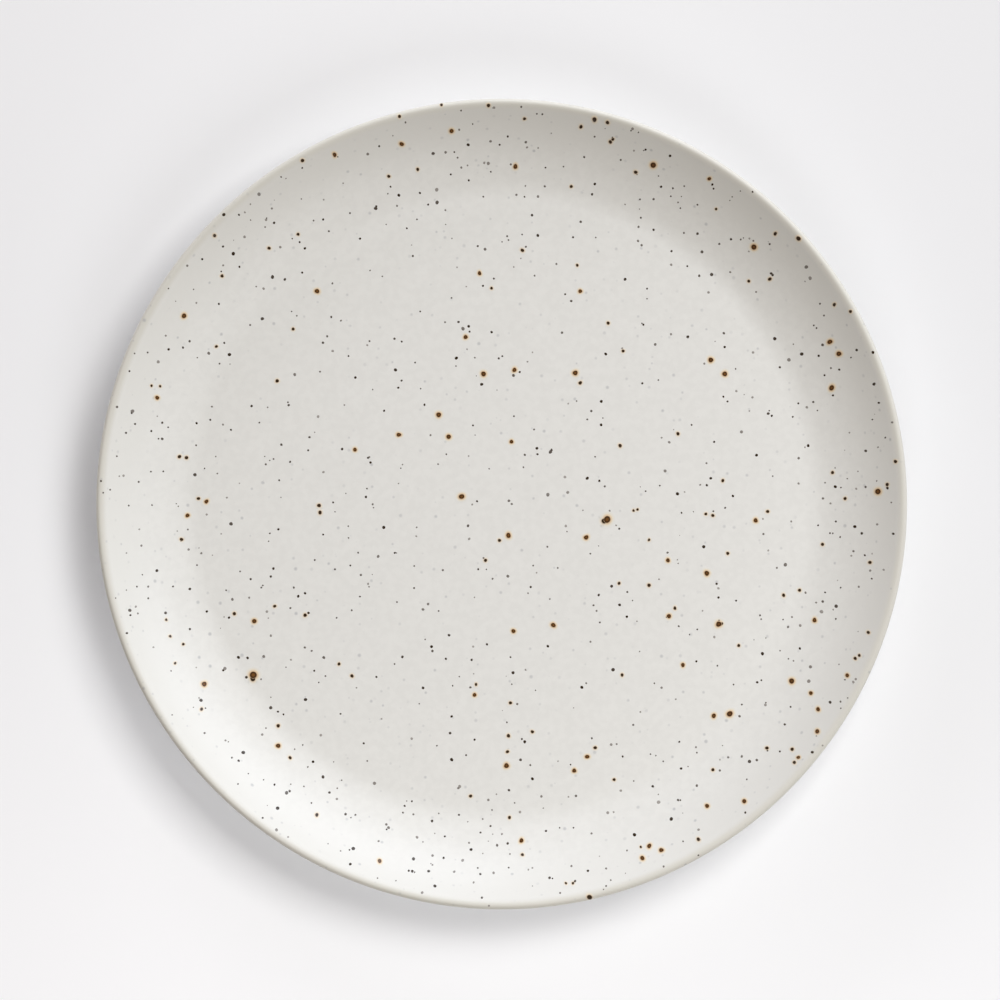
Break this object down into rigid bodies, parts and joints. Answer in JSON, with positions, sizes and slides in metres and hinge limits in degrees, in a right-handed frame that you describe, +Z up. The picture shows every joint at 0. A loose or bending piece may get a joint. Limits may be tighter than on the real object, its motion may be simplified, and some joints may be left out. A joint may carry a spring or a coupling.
{
  "type": "coupe dinner plate",
  "caption": "Round coupe dinner plate in speckled satin white stoneware, with a flat well, a curved rimless wall, a rounded lip and a bare foot ring.",
  "frame": {"origin": "centre of the foot ring, on the surface that the plate stands on", "axes": "+Z up along the plate's axis, +X to the right and +Y to the top of the picture"},
  "size_m": [0.27, 0.27, 0.025],
  "materials": {
    "stoneware": "matte",
    "face_glaze": "satin",
    "base_glaze": "satin",
    "iron_glass": "gloss"
  },
  "bodies": {
    "root": {"stoneware_body": "stoneware", "face_glaze": "face_glaze", "base_glaze": "base_glaze", "iron_specks": "iron_glass"}
  },
  "joints": []
}
